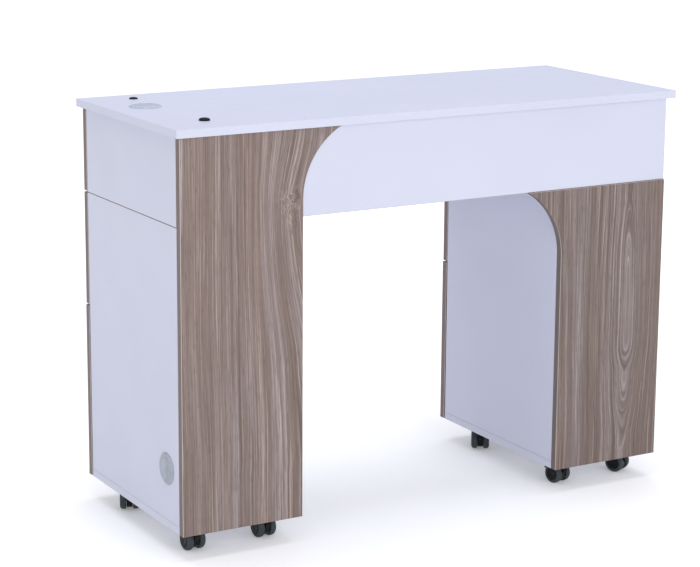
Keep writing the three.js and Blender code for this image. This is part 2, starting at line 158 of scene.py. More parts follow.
def wood(name, face_y, figure_x, gap_steps, seed, tone=1.0, bulge=None, shades=()):
    """Grey-brown laminate with upright grain, on a board whose outer face lies at face_y.

    The growth rings are rings round a heart that lies behind the board at figure_x. gap_steps
    says how far behind: each (z_low, z_high, change) adds that change over that stretch of
    height, so the rings draw V shapes and long loops there. bulge is (x, z, amount) or None:
    a knot at that place, which pushes the grain beside it towards -X. shades is a list of
    (x, reach, depth): an upright band that is darker by that depth, or paler if it is negative.
    """
    s = Shader(name, 0.46, specular=0.30)
    x, y, z = s.axes(s.place())
    across = s.math("ADD", x, s.math("SUBTRACT", y, face_y))
    along = z
    if bulge:
        knot_x, knot_z, amount = bulge
        near = s.ramp(across, knot_x - 0.10, knot_x + 0.01)
        below = s.ramp(along, knot_z - 0.30, knot_z)
        above = s.ramp(along, knot_z, knot_z + 0.15, 1.0, 0.15)
        push = s.math("MULTIPLY", s.math("MULTIPLY", near, below), s.math("MULTIPLY", above, amount))
        dx = s.math("SUBTRACT", across, knot_x)
        dz = s.math("MULTIPLY", s.math("SUBTRACT", along, knot_z), 0.8)
        reach = s.math("SQRT", s.math("ADD", s.math("MULTIPLY", dx, dx), s.math("MULTIPLY", dz, dz)))
        core = s.ramp(reach, 0.004, 0.040, 1.0, 0.0)
        swirl = s.noise(s.join(s.math("MULTIPLY", x, 55.0), seed + 50, s.math("MULTIPLY", z, 55.0)), detail=3.0)
        twist = s.math("MULTIPLY", s.math("SUBTRACT", swirl, 0.5), s.math("MULTIPLY", core, 0.055))
        across = s.math("ADD", across, s.math("ADD", push, twist))
    drift = s.noise(s.join(s.math("MULTIPLY", across, 3.0), seed, s.math("MULTIPLY", along, 0.9)))
    drift = s.math("MULTIPLY", s.math("SUBTRACT", drift, 0.5), 0.040)
    wander = s.noise(s.join(s.math("MULTIPLY", across, 25.0), seed + 3, s.math("MULTIPLY", along, 5.0)))
    wander = s.math("MULTIPLY", s.math("SUBTRACT", wander, 0.5), 0.0032)
    grain = s.math("ADD", across, s.math("ADD", drift, wander))

    # Growth rings, cut into uneven rings.
    waver = s.noise(s.join(s.math("MULTIPLY", across, 22.0), seed + 5, s.math("MULTIPLY", along, 13.0)), detail=3.0)
    waver = s.math("MULTIPLY", s.math("SUBTRACT", waver, 0.5), 0.007)
    side = s.math("SUBTRACT", grain, figure_x)
    gap = waver
    for z_low, z_high, change in gap_steps:
        gap = s.math("ADD", gap, s.ramp(along, z_low, z_high, 0.0, change))
    squares = [s.math("POWER", s.math("ABSOLUTE", part), RING_POINT) for part in (side, gap)]
    radius = s.math("POWER", s.math("ADD", *squares), 1 / RING_POINT)
    uneven = s.noise(s.join(s.math("MULTIPLY", radius, 50.0), seed + 7, 0.0), detail=3.0)
    rings = s.math("MULTIPLY_ADD", radius, 170.0, s.math("MULTIPLY", uneven, 8.0))
    phase = s.math("FRACT", rings)
    late = s.ramp(phase, 0.30, 0.88)
    early = s.ramp(phase, 0.88, 1.0, 1.0, 0.0)
    ring_line = s.math("MULTIPLY", late, early)
    which = s.node("ShaderNodeTexWhiteNoise", {"W": s.math("FLOOR", rings)}, noise_dimensions="1D")
    ring_line = s.math("MULTIPLY", ring_line, s.ramp(which.outputs[0], 0.1, 1.0, 0.0, 1.0))

    # Bands, streaks and fibres, all drawn out along the rings. The depth keeps the two sides of
    # the heart from mirroring each other.
    def streak(width, length, offset, detail=2.0):
        depth = s.math("MULTIPLY_ADD", side, 8.0, seed + offset)
        vector = s.join(s.math("DIVIDE", radius, width), depth, s.math("DIVIDE", along, length))
        return s.noise(vector, detail=detail, roughness=0.6)

    band = streak(0.050, 1.6, 11)
    broad = streak(0.030, 1.2, 14, 1.0)
    stripe = streak(0.0068, 0.90, 17, 2.0)
    fine = streak(0.0032, 0.50, 23, 2.0)
    fibre = streak(0.0017, 0.10, 29, 2.0)
    pale = s.ramp(streak(0.0030, 0.42, 31, 2.0), 0.54, 0.66)
    dark = s.ramp(streak(0.0030, 0.42, 41, 2.0), 0.54, 0.66)
    pore = s.ramp(streak(0.0011, 0.022, 37, 0.0), 0.60, 0.74)

    def toned(red, green, blue):
        return srgb(red * tone, green * tone, blue * tone)

    warm, cool = toned(166, 147, 139), toned(160, 149, 149)
    colour = s.mix(s.ramp(band, 0.40, 0.60), warm, cool)
    colour = s.mix(s.ramp(broad, 0.46, 0.66, 0.0, 0.70), colour, toned(124, 107, 100))
    for shade_x, reach, depth in shades:
        share = s.ramp(s.math("ABSOLUTE", s.math("SUBTRACT", grain, shade_x)), 0.0, reach, abs(depth), 0.0)
        colour = s.mix(share, colour, toned(112, 96, 89) if depth > 0 else toned(176, 163, 158))
    colour = s.mix(s.ramp(stripe, 0.40, 0.60, 0.0, 0.55), colour, toned(124, 106, 99))
    colour = s.mix(s.math("MULTIPLY", pale, 0.62), colour, toned(188, 178, 173))
    colour = s.mix(s.ramp(fine, 0.40, 0.60, 0.0, 0.62), colour, toned(118, 101, 95))
    figure = s.ramp(s.math("ABSOLUTE", side), 0.0, 0.07, 0.72, 0.40)
    colour = s.mix(s.math("MULTIPLY", ring_line, figure), colour, toned(96, 79, 72))
    colour = s.mix(s.math("MULTIPLY", dark, 0.75), colour, toned(100, 84, 77))
    colour = s.mix(s.ramp(fibre, 0.42, 0.64, 0.0, 0.46), colour, toned(106, 90, 84))
    colour = s.mix(s.math("MULTIPLY", pore, 0.35), colour, toned(86, 70, 64))
    if bulge:
        smear = s.math("MULTIPLY", core, s.ramp(swirl, 0.50, 0.70, 0.0, 0.60))
        shade = s.math("MULTIPLY", core, s.ramp(swirl, 0.30, 0.46, 0.75, 0.0))
        colour = s.mix(smear, colour, toned(184, 170, 161))
        colour = s.mix(shade, colour, toned(98, 80, 72))

    # Edge bands are darker. The arris between band and face gets a painted highlight: a pale line on upright edges,
    # none where the arris faces down.
    normal = s.node("ShaderNodeNewGeometry").outputs["True Normal"]
    nx, ny, nz = s.axes(normal)
    square = s.math("ABSOLUTE", ny)
    edge = s.ramp(square, 0.15, 0.30, 1.0, 0.0, smooth=False)
    face = s.ramp(square, 0.955, 0.985, smooth=False)
    lying = s.ramp(s.math("ABSOLUTE", nz), 0.10, 0.30, smooth=False)
    face = s.math("MAXIMUM", face, s.math("MULTIPLY", lying, s.ramp(nz, -0.1, 0.1, 1.0, 0.0)))
    band_colour = s.mix(s.ramp(fine, 0.3, 0.7), toned(104, 90, 88), toned(122, 108, 105))
    # The pale arris colour is a painted highlight.
    arris = s.mix(face, toned(190, 181, 179), colour)
    s.set("Base Color", s.mix(edge, arris, band_colour))
    relief = s.math("ADD", s.math("MULTIPLY", fibre, 0.5), s.math("MULTIPLY", pore, -1.0))
    s.bump(s.math("ADD", relief, s.math("MULTIPLY", stripe, 0.4)), 0.25, 0.0004)
    s.set("Roughness", s.ramp(fine, 0.3, 0.7, 0.44, 0.58))
    return s.material


def white_board(name, face_colour, arris_colour):
    """Bluish white melamine: a faint pebbled press texture and slightly dulled arrises."""
    s = Shader(name, 0.42, specular=0.25)
    place = s.place()
    cloud = s.noise(place, 3.0, 2.0)
    shade = s.mix(s.ramp(cloud, 0.3, 0.7), face_colour, tuple(0.975 * c for c in face_colour[:3]) + (1.0,))
    normal = s.node("ShaderNodeNewGeometry").outputs["True Normal"]
    nx, ny, nz = s.axes(normal)
    largest = s.math("MAXIMUM", s.math("ABSOLUTE", nx), s.math("ABSOLUTE", ny))
    largest = s.math("MAXIMUM", largest, s.math("ABSOLUTE", nz))
    s.set("Base Color", s.mix(s.ramp(largest, 0.955, 0.985, smooth=False), arris_colour, shade))
    pebble = s.noise(place, 900.0, 2.0)
    s.bump(pebble, 0.12, 0.0002)
    s.set("Roughness", s.ramp(s.noise(place, 14.0, 3.0), 0.3, 0.7, 0.33, 0.43))
    return s.material


def plastic(name, colour, roughness, grain=700.0, strength=0.15, specular=0.5):
    """Moulded plastic: fine spark-eroded grain, and scuffs that change the gloss a little."""
    s = Shader(name, roughness, specular=specular)
    place = s.place()
    scuff = s.noise(place, 60.0, 4.0, 0.6)
    darker = tuple(0.82 * c for c in colour[:3]) + (1.0,)
    s.set("Base Color", s.mix(s.ramp(scuff, 0.35, 0.65), colour, darker))
    s.set("Roughness", s.ramp(scuff, 0.3, 0.7, roughness * 0.85, roughness * 1.25))
    s.bump(s.noise(place, grain, 2.0), strength, 0.0002)
    return s.material


def metal(name, colour, roughness, brush=None):
    """Polished or brushed metal; brush is the axis (0, 1 or 2) that the brushing runs along."""
    s = Shader(name, roughness, metallic=1.0)
    x, y, z = s.axes(s.place())
    scale = [900.0, 900.0, 900.0]
    if brush is not None:
        scale[brush] = 12.0
    stretched = s.join(*(s.math("MULTIPLY", c, k) for c, k in zip((x, y, z), scale)))
    lines = s.noise(stretched, 1.0, 2.0)
    worn = tuple(0.86 * c for c in colour[:3]) + (1.0,)
    s.set("Base Color", s.mix(s.ramp(lines, 0.3, 0.7), colour, worn))
    s.set("Roughness", s.ramp(lines, 0.3, 0.7, roughness * 0.8, roughness * 1.3))
    s.bump(lines, 0.06, 0.0001)
    return s.material


WHITE_FACE = (0.550, 0.566, 0.675, 1.0)
WHITE = white_board("white_melamine_board", WHITE_FACE, srgb(196, 196, 206))
# Brown arrises, painted shade: the dark line along the joints of the apron and the left sides.
WHITE_BROWN_ARRIS = white_board("white_melamine_brown_arris", WHITE_FACE, srgb(150, 132, 118))
GROMMET = plastic("grommet_plastic", srgb(163, 170, 180), 0.45, specular=0.3)
# The top grommet gets a paler copy of the grommet plastic: painted light, for the light that falls on it from above.
TOP_GROMMET_PAINTED_LIT = plastic("grommet_plastic_painted_lit", srgb(174, 181, 193), 0.45, specular=0.3)
BLACK = plastic("bushing_plastic", srgb(12, 12, 18), 0.36, specular=0.15)
CASTER = plastic("caster_nylon", srgb(12, 12, 15), 0.30, grain=500.0, specular=0.18)
TYRE = plastic("caster_tread", srgb(58, 66, 69), 0.55, grain=1200.0, strength=0.3, specular=0.25)
CHROME = metal("handle_chrome", srgb(214, 217, 222), 0.16)
STEEL = metal("nickel_plate", srgb(196, 198, 201), 0.30, brush=2)
ZINC = metal("zinc_screw", srgb(176, 178, 182), 0.35)
RUNNER = plastic("runner_enamel", srgb(206, 208, 212), 0.40, grain=300.0)
ROLLER = plastic("roller_nylon", srgb(228, 228, 224), 0.45)


# ---- Mesh helpers -------------------------------------------------------------------------------

def new_piece(name, mesh, material, body, smooth_angle=35.0):
    piece = bpy.data.objects.new(name, mesh)
    bpy.context.scene.collection.objects.link(piece)
    mesh.materials.append(material)
    mesh.polygons.foreach_set("use_smooth", [True] * len(mesh.polygons))
    mesh.set_sharp_from_angle(angle=math.radians(smooth_angle))
    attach(piece, body)
    return piece


def mesh_from(name, bm, matrix=Matrix.Identity(4)):
    bmesh.ops.recalc_face_normals(bm, faces=bm.faces)
    bmesh.ops.transform(bm, matrix=matrix, verts=bm.verts)
    mesh = bpy.data.meshes.new(name)
    bm.to_mesh(mesh)
    bm.free()
    return mesh


def skin(bm, rings, closed=False):
    """Quads between neighbouring rings of points; closed joins the last ring to the first."""
    made = [[bm.verts.new(point) for point in ring] for ring in rings]
    count = len(made[0])
    pairs = list(zip(made, made[1:]))
    if closed:
        pairs.append((made[-1], made[0]))
    for first, second in pairs:
        for i in range(count):
            j = (i + 1) % count
            bm.faces.new((first[i], first[j], second[j], second[i]))
    if not closed:
        bm.faces.new(made[0][::-1])
        bm.faces.new(made[-1])
    return made


def lathe(bm, profile, segments=48, matrix=Matrix.Identity(4)):
    """Turns a closed profile of (radius, height) round Z; points on the axis become poles."""
    steps = [2 * math.pi * i / segments for i in range(segments)]
    rings = []
    for radius, height in profile:
        if radius < 1e-7:
            rings.append([bm.verts.new(matrix @ Vector((0, 0, height)))])
        else:
            spots = (Vector((radius * math.cos(a), radius * math.sin(a), height)) for a in steps)
            rings.append([bm.verts.new(matrix @ spot) for spot in spots])
    pairs = list(zip(rings, rings[1:]))
    if len(rings[0]) > 1:
        pairs.append((rings[-1], rings[0]))
    for first, second in pairs:
        for i in range(segments):
            j = (i + 1) % segments
            if len(first) == 1 and len(second) == 1:
                break
            if len(first) == 1:
                bm.faces.new((first[0], second[j], second[i]))
            elif len(second) == 1:
                bm.faces.new((first[i], first[j], second[0]))
            else:
                bm.faces.new((first[i], first[j], second[j], second[i]))


def rounded(corners, radius, steps=4):
    """A closed outline of 2D corners with each corner turned to an arc of that radius."""
    points = []
    count = len(corners)
    for i, corner in enumerate(corners):
        here = Vector(corner)
        before = (Vector(corners[i - 1]) - here).normalized()
        after = (Vector(corners[(i + 1) % count]) - here).normalized()
        for step in range(steps + 1):
            share = step / steps
            start = here + before * radius * (1 - share) ** 2
            points.append(start + after * radius * share ** 2)
    return points


def box_bm(low, high, bevel, segments=2):
    bm = bmesh.new()
    bmesh.ops.create_cube(bm, size=1.0)
    size = Vector(high) - Vector(low)
    middle = (Vector(high) + Vector(low)) / 2
    for vert in bm.verts:
        vert.co = Vector(a * b for a, b in zip(vert.co, size)) + middle
    if bevel:
        bmesh.ops.bevel(bm, geom=bm.edges[:], offset=bevel, segments=segments, affect="EDGES", profile=0.5)
    return bm


def join(pieces_of_bm):
    """One bmesh from several; each stays its own closed shell."""
    whole = bmesh.new()
    for part in pieces_of_bm:
        mesh = bpy.data.meshes.new("scratch")
        part.to_mesh(mesh)
        part.free()
        whole.from_mesh(mesh)
        bpy.data.meshes.remove(mesh)
    return whole


def turned(profile, segments=48, matrix=Matrix.Identity(4)):
    bm = bmesh.new()
    lathe(bm, profile, segments, matrix)
    return bm


def along(axis, origin):
    """The matrix that takes +Z to an axis, with its foot at origin."""
    turn = Vector(axis).to_track_quat("Z", "Y").to_matrix().to_4x4()
    return Matrix.Translation(origin) @ turn


# ---- CAD boards: softened arrises and finishes ---------------------------------------------------

def soften(node, material, arris):
    """Welds a CAD node's faceted skin, rounds its arrises and gives it its finish."""
    piece = frame["nodes"][node]
    weld = piece.modifiers.new("weld", "WELD")
    weld.merge_threshold = 0.00001
    flat = piece.modifiers.new("flat", "DECIMATE")
    flat.decimate_type = "DISSOLVE"
    flat.angle_limit = math.radians(0.5)
    bevel = piece.modifiers.new("arris", "BEVEL")
    bevel.width = arris
    bevel.segments = 2
    bevel.limit_method = "ANGLE"
    bevel.angle_limit = math.radians(40)
    bevel.use_clamp_overlap = True
    bevel.harden_normals = False
    for slot in piece.material_slots:
        slot.material = material


def finish_white_boards():
    boards = ["table_top", "apron", "upper_side_left", "upper_side_right", "upper_floor"]
    boards += ["upper_divider_left", "upper_divider_right"]
    for side in ("left", "right"):
        boards += [f"{side}_{part}" for part in ("bottom_board", "shelf", "inner_side", "outer_side")]
    for board in boards:
        # The apron and the upper and outer left sides get brown arrises all round: a painted shadow line along their
        # joints.
        painted_joint_shade = board in ("apron", "upper_side_left", "left_outer_side")
        soften(board, WHITE_BROWN_ARRIS if painted_joint_shade else WHITE, 0.6 * MM)


def finish_wood_boards():
    left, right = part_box("front_panel_left"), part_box("front_panel_right")
    knee_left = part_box("left_door")[1].x
    face_y = left[0].y
    knot = (knee_left - 0.026, left[1].z - 0.142, 0.032)
    sweep = ((-0.1, 0.0, 0.050), (0.14, 0.60, -0.046))
    shades = ((left[0].x + 0.048, 0.022, 0.55), (left[0].x + 0.085, 0.030, -0.30))
    finish = wood("wood_front_left", face_y, knee_left + 0.042, sweep, 1.0, 0.975, knot, shades)
    soften("front_panel_left", finish, 0.8 * MM)
    loops = ((-0.1, 0.0, 0.034), (0.07, 0.24, -0.014), (0.23, 0.31, -0.018), (0.44, 0.60, 0.014))
    shades = (
        (right[1].x - 0.022, 0.034, 0.50), (right[1].x - 0.105, 0.040, -0.35), (right[1].x - 0.158, 0.014, 0.40),
    )
    finish = wood("wood_front_right", face_y, right[1].x - 0.086, loops, 5.0, 0.895, None, shades)
    soften("front_panel_right", finish, 0.8 * MM)
    rear = ["left_top_drawer_front", "centre_drawer_front", "right_top_drawer_front"]
    rear += ["left_middle_drawer_front", "right_middle_drawer_front", "left_door", "right_door"]
    for number, node in enumerate(rear):
        low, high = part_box(node)
        middle = low.x + (0.35 + 0.3 * (number % 2)) * (high.x - low.x)
        height = high.z - low.z
        steps = ((-0.1, 0.0, 0.040), (low.z - 0.2 * height, low.z + 0.9 * height, -0.040 - 0.004 * number))
        finish = wood(f"wood_{node}", high.y, middle, steps, 20.0 + 4 * number)
        soften(node, finish, 0.8 * MM)


# ---- Grommets and lamp bushings --------------------------------------------------------------------

def grommet_profile(outer, height, sleeve, depth):
    """A raised cap with a sloping rim, a fine groove round its lid and a sleeve below."""
    cap = outer - 3.2 * MM
    groove = outer * 0.70
    return [
        (0, height * 0.97), (groove - 0.5 * MM, height * 0.97), (groove - 0.35 * MM, height * 0.80),
        (groove + 0.35 * MM, height * 0.80), (groove + 0.5 * MM, height * 0.98), (cap - 0.6 * MM, height),
        (cap, height * 0.97), (cap + 0.5 * MM, height * 0.88), (outer - 0.4 * MM, height * 0.26),
        (outer, height * 0.14), (outer, 0.0), (sleeve, 0.0), (sleeve, -depth), (sleeve - 2 * MM, -depth),
        (sleeve - 2 * MM, -1.5 * MM), (0, -1.5 * MM),
    ]


def make_grommets():
    sleeve = 27 * MM
    for node, axis, finish in (("top_grommet", (0, 0, 1), TOP_GROMMET_PAINTED_LIT), ("side_grommet", (-1, 0, 0), GROMMET)):
        low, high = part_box(node)
        normal = Vector(axis)
        middle = (low + high) / 2
        outer = (high.y - low.y) / 2
        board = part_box("table_top")[1].z if axis[2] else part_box("left_outer_side")[0].x
        level = 2 if axis[2] else 0
        middle[level] = board + 0.05 * MM * axis[level]
        height = abs((high if axis[2] else low)[level] - board)
        bm = turned(grommet_profile(outer, height, sleeve, 14.4 * MM), 72, along(normal, middle))
        piece = new_piece(f"{node}_cover", mesh_from(node, bm), finish, "carcass", 30)
        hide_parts(node)


def make_bushings():
    for end in ("front", "rear"):
        node = f"lamp_bushing_{end}"
        low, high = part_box(node)
        centre = (low + high) / 2
        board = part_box("table_top")[1].z
        outer = (high.x - low.x) / 2
        height = high.z - board
        bore = outer * 0.48
        hole = outer * 0.76
        profile = [(bore, low.z), (hole, low.z), (hole, board + 0.05 * MM), (outer, board + 0.05 * MM)]
        for step in range(9):  # a quarter-round shoulder up to the flat lip
            angle = math.radians(90 * step / 8)
            spread = 0.42 * outer
            profile.append((outer - spread + spread * math.cos(angle), board + (0.15 + 0.85 * math.sin(angle)) * height))
        profile += [(bore + 0.5 * MM, board + height), (bore, board + height - 0.5 * MM)]
        bm = turned(profile, 48, Matrix.Translation((centre.x, centre.y, 0)))
        piece = new_piece(f"{node}_sleeve", mesh_from(node, bm), BLACK, "carcass", 40)
        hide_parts(node)


# ---- Handles -------------------------------------------------------------------------------------------

def handle_path(span, reach, corner, steps=10):
    """Points of a bow handle in its own plane: out from one post, along the bar and back."""
    half = span / 2
    points = [Vector((-half, 0)), Vector((-half, (reach - corner) * 0.5))]
    for centre_x, start in ((corner - half, 180), (half - corner, 90)):
        for step in range(steps + 1):
            angle = math.radians(start - 90 * step / steps)
            offset = Vector((math.cos(angle), math.sin(angle))) * corner
            points.append(Vector((centre_x, reach - corner)) + offset)
    return points + [Vector((half, (reach - corner) * 0.5)), Vector((half, 0))]


def make_handles():
    for node, body in handle_bodies().items():
        low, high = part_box(node)
        size = high - low
        upright = size.z > size.x
        thick = min(size.x, size.z)
        span = max(size.x, size.z) - thick
        reach = size.y - thick / 2
        centre = Vector(((low.x + high.x) / 2, low.y, (low.z + high.z) / 2))
        side = Vector((0, 0, 1)) if upright else Vector((1, 0, 0))
        third = side.cross(Vector((0, 1, 0)))
        path = handle_path(span, reach, 9 * MM)
        rings = []
        for i, spot in enumerate(path):
            ahead = path[min(i + 1, len(path) - 1)] - path[max(i - 1, 0)]
            normal = Vector((-ahead.y, ahead.x)).normalized()
            ring = []
            for k in range(20):
                angle = 2 * math.pi * k / 20
                flat = spot + normal * math.cos(angle) * thick / 2
                lift = third * math.sin(angle) * thick / 2
                ring.append(centre + side * flat.x + Vector((0, flat.y, 0)) + lift)
            rings.append(ring)
        bm = bmesh.new()
        skin(bm, rings)
        parts = [bm]
        for end in (-1, 1):  # a turned foot under each post
            foot = [(0, 0), (thick * 0.72, 0), (thick * 0.72, 1.2 * MM), (thick * 0.62, 2.0 * MM), (0, 2.0 * MM)]
            parts.append(turned(foot, 32, along((0, 1, 0), centre + side * span / 2 * end)))
        piece = new_piece(f"{node}_bow", mesh_from(node, join(parts)), CHROME, body, 40)
        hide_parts(node)


def handle_bodies():
    found = {}
    for body, nodes in frame["record"]["behaviour"]["bodies"].items():
        for node in nodes:
            if node.endswith("_handle"):
                found[node] = body
    return found


# ---- Drawer boxes and runners ----------------------------------------------------------------------------

def white_box(name, low, high, body, material=None, bevel=0.5 * MM):
    mesh = mesh_from(name, box_bm(low, high, bevel))
    return new_piece(name, mesh, material or WHITE, body, 25)


def make_drawer_box(drawer):
    node = f"{drawer}_box"
    low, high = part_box(node)
    wall = 12 * MM
    gap = 0.15 * MM
    left = white_box(f"{node}_side_left", low, (low.x + wall, high.y, high.z), drawer)
    white_box(f"{node}_side_right", (high.x - wall, low.y, low.z), high, drawer)
    inner = (low.x + wall + gap, high.x - wall - gap)
    white_box(f"{node}_back", (inner[0], low.y, low.z), (inner[1], low.y + wall, high.z - 6 * MM), drawer)
    white_box(f"{node}_front", (inner[0], high.y - wall, low.z), (inner[1], high.y, high.z - 6 * MM), drawer)
    groove = low.z + 8 * MM
    bottom_low = (inner[0], low.y + wall + gap, groove)
    bottom_high = (inner[1], high.y - wall - gap, groove + 4 * MM)
    white_box(f"{node}_bottom", bottom_low, bottom_high, drawer, bevel=0.2 * MM)
    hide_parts(node)


def make_runners(drawer, walls):
    """Roller runners: a member on each bay wall and a member on each side of the drawer box."""
    low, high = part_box(f"{drawer}_box")
    sheet = 1.2 * MM
    base = low.z + 3 * MM
    start, end = low.y + 4 * MM, high.y - 6 * MM
    for hand, wall, side in (("left", walls[0], low.x), ("right", walls[1], high.x)):
        inward = 1 if hand == "left" else -1
        touch = 0.1 * MM * inward

        def span(first, second):
            return (min(first, second), max(first, second))

        fixed = []
        for x_span, z_span in (
            (span(wall + touch, wall + touch + sheet * inward), (base, base + 22 * MM)),
            (span(wall + touch, wall + 9 * MM * inward), (base, base + sheet)),
        ):
            fixed.append(box_bm((x_span[0], start, z_span[0]), (x_span[1], end, z_span[1]), 0.25 * MM))
        mesh = mesh_from("runner", join(fixed))
        new_piece(f"{drawer}_runner_{hand}_cabinet", mesh, RUNNER, "carcass", 30)
        moving = []
        for x_span, z_span in (
            (span(side - touch, side - touch - sheet * inward), (base + 6 * MM, base + 22 * MM)),
            (span(side - touch, side - 8.5 * MM * inward), (base + 22 * MM - sheet, base + 22 * MM)),
        ):
            moving.append(box_bm((x_span[0], start, z_span[0]), (x_span[1], end, z_span[1]), 0.25 * MM))
        mesh = mesh_from("runner", join(moving))
        new_piece(f"{drawer}_runner_{hand}_drawer", mesh, RUNNER, drawer, 30)
        roller = [(0, 0), (1.5 * MM, 0), (5.4 * MM, 0.1 * MM), (6 * MM, 0.8 * MM), (6 * MM, 5.2 * MM), (5.4 * MM, 5.9 * MM), (0, 6 * MM)]
        spots = (
            ("cabinet", "carcass", Vector((wall + 1.5 * MM * inward, end - 8 * MM, base + 14.5 * MM)), inward),
            ("drawer", drawer, Vector((side - 1.5 * MM * inward, start + 8 * MM, base + 7.5 * MM)), -inward),
        )
        for kind, body, spot, way in spots:
            mesh = mesh_from("roller", turned(roller, 32, along((way, 0, 0), spot)))
            new_piece(f"{drawer}_roller_{hand}_{kind}", mesh, ROLLER, body, 40)


def make_drawers():
    left_bay = (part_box("left_outer_side")[1].x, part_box("left_inner_side")[0].x)
    right_bay = (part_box("right_inner_side")[1].x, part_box("right_outer_side")[0].x)
    centre_bay = (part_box("upper_divider_left")[1].x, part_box("upper_divider_right")[0].x)
    bays = {
        "left_top_drawer": left_bay, "left_middle_drawer": left_bay, "centre_drawer": centre_bay,
        "right_top_drawer": right_bay, "right_middle_drawer": right_bay,
    }
    for drawer, walls in bays.items():
        make_drawer_box(drawer)
        make_runners(drawer, walls)


# ---- Hinges ---------------------------------------------------------------------------------------------

def screw_bm(spot, axis, head=3.2 * MM, height=0.9 * MM):
    """A pan head with a cross recess's rim, turned about axis."""
    profile = [
        (0, height * 0.35), (head * 0.22, height * 0.40), (head * 0.34, height * 0.95),
        (head * 0.60, height * 0.90), (head * 0.88, height * 0.55), (head, height * 0.12), (head, 0), (0, 0),
    ]
    return turned(profile, 24, along(axis, spot))


def make_hinges():
    for side in ("left", "right"):
        for end in ("upper", "lower"):
            node = f"{side}_door_hinge_{end}"
            soften(node, STEEL, 0.25 * MM)
            low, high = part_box(node)
            pin_x = high.x - 3 * MM
            pin_y = high.y - 3 * MM
            third = 18 * MM
            foot, top = low.z + third + 0.4 * MM, high.z - third - 0.4 * MM
            leaf_low = (pin_x - 17 * MM, pin_y + 0.1 * MM, low.z)
            leaf_high = (pin_x - 3.2 * MM, pin_y + 1.7 * MM, high.z)
            leaf = box_bm(leaf_low, leaf_high, 0.25 * MM)
            tab_low = (pin_x - 3.6 * MM, pin_y + 0.1 * MM, foot)
            tab = box_bm(tab_low, (pin_x - 1.9 * MM, pin_y + 1.7 * MM, top), 0.1 * MM)
            tube = [(1.5 * MM, foot), (3 * MM, foot), (3 * MM, top), (1.5 * MM, top)]
            knuckle = turned(tube, 32, Matrix.Translation((pin_x, pin_y, 0)))
            mesh = mesh_from("leaf", join([leaf, tab, knuckle]))
            new_piece(f"{node}_door_leaf", mesh, STEEL, f"{side}_door", 35)


# ---- Casters --------------------------------------------------------------------------------------------

def caster_names():
    return [n[: -len("_fork")] for n in frame["nodes"] if n.endswith("_caster_fork")]


def joint_named(name):
    return next(joint for joint in frame["joints"] if joint["name"] == name)


def wheel_profile(inside, outside, radius):
    """Tread profile across one wheel, from its inner rim to the outer shoulder."""
    shoulder = 5.2 * MM
    points = [(radius * 0.60, inside), (radius - 2.2 * MM, inside)]
    for step in range(5):
        angle = math.radians(90 * step / 4)
        points.append((radius - 2.2 * MM + 2.2 * MM * math.sin(angle), inside + 2.2 * MM * (1 - math.cos(angle))))
    for step in range(9):
        angle = math.radians(90 * step / 8)
        points.append((radius - shoulder + shoulder * math.cos(angle), outside - shoulder + shoulder * math.sin(angle)))
    points += [(radius * 0.735, outside - 0.15 * MM), (radius * 0.72, outside - 1.0 * MM), (radius * 0.60, outside - 1.0 * MM)]
    return points


def hub_profile(inside, outside, radius):
    return [
        (0, outside + 0.0 * MM), (radius * 0.10, outside), (radius * 0.14, outside - 0.4 * MM),
        (radius * 0.17, outside - 0.4 * MM), (radius * 0.21, outside - 0.05 * MM),
        (radius * 0.50, outside - 0.25 * MM), (radius * 0.66, outside - 0.75 * MM), (radius * 0.70, outside - 1.3 * MM),
        (radius * 0.595, outside - 1.6 * MM), (radius * 0.595, inside + 0.3 * MM),
        (radius * 0.30, inside + 0.3 * MM), (radius * 0.28, inside - 0.2 * MM), (0, inside - 0.2 * MM),
    ]


